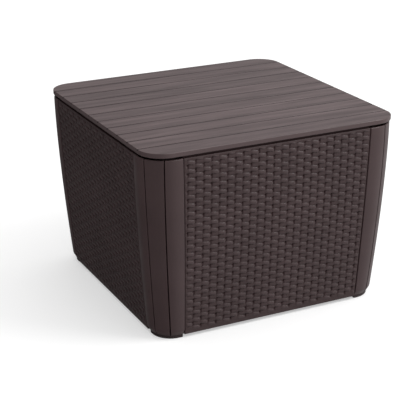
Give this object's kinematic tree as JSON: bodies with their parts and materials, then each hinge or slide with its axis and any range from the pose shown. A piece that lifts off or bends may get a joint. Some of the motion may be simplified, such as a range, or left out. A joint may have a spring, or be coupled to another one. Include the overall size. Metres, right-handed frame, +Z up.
{
  "type": "storage coffee table",
  "caption": "Square resin storage coffee table with woven-look wall panels, grooved corner posts and a planked lid that swings up on rear hinges.",
  "frame": {"origin": "on the floor under the middle of the table", "axes": "+Z up, -Y towards the front, away from the hinges; the planks and the hinge axis run along X"},
  "size_m": [0.5926, 0.5926, 0.423],
  "materials": {
    "lid": "brown resin with a faint wood grain along the planks",
    "panel": "dark brown resin, moulded with a woven look",
    "post": "dark brown resin, smooth, low sheen",
    "inner": "dark brown resin, plain moulded",
    "foot": "near black resin, plain",
    "steel": "zinc-plated steel"
  },
  "bodies": {
    "box": {"back_panel": "panel", "left_panel": "panel", "front_panel": "panel", "right_panel": "panel", "corner_post_back_right": "post", "corner_post_back_left": "post", "corner_post_front_left": "post", "corner_post_front_right": "post", "foot_back_right": "foot", "foot_back_left": "foot", "foot_front_left": "foot", "foot_front_right": "foot", "floor_panel": "inner", "hinge_bracket_left": "inner", "hinge_bracket_right": "inner", "hinge_pin_left": "steel", "hinge_pin_right": "steel", "bracket_screw_left_left": "steel", "bracket_screw_left_right": "steel", "bracket_screw_right_left": "steel", "bracket_screw_right_right": "steel", "panel_screw_back_left_lower": "steel", "panel_screw_back_left_upper": "steel", "panel_screw_back_right_lower": "steel", "panel_screw_back_right_upper": "steel", "panel_screw_left_left_lower": "steel", "panel_screw_left_left_upper": "steel", "panel_screw_left_right_lower": "steel", "panel_screw_left_right_upper": "steel", "panel_screw_front_left_lower": "steel", "panel_screw_front_left_upper": "steel", "panel_screw_front_right_lower": "steel", "panel_screw_front_right_upper": "steel", "panel_screw_right_left_lower": "steel", "panel_screw_right_left_upper": "steel", "panel_screw_right_right_lower": "steel", "panel_screw_right_right_upper": "steel"},
    "lid": {"lid_top": "lid", "lid_liner": "inner", "hinge_arm_left": "inner", "hinge_arm_right": "inner", "arm_screw_left_left": "steel", "arm_screw_left_right": "steel", "arm_screw_right_left": "steel", "arm_screw_right_right": "steel"}
  },
  "joints": [
    {"name": "lid_hinge", "type": "hinge", "parent": "box", "child": "lid", "pos_m": [0, 0.291, 0.404], "axis": [-1, 0, 0], "range_deg": [0, 100]}
  ]
}
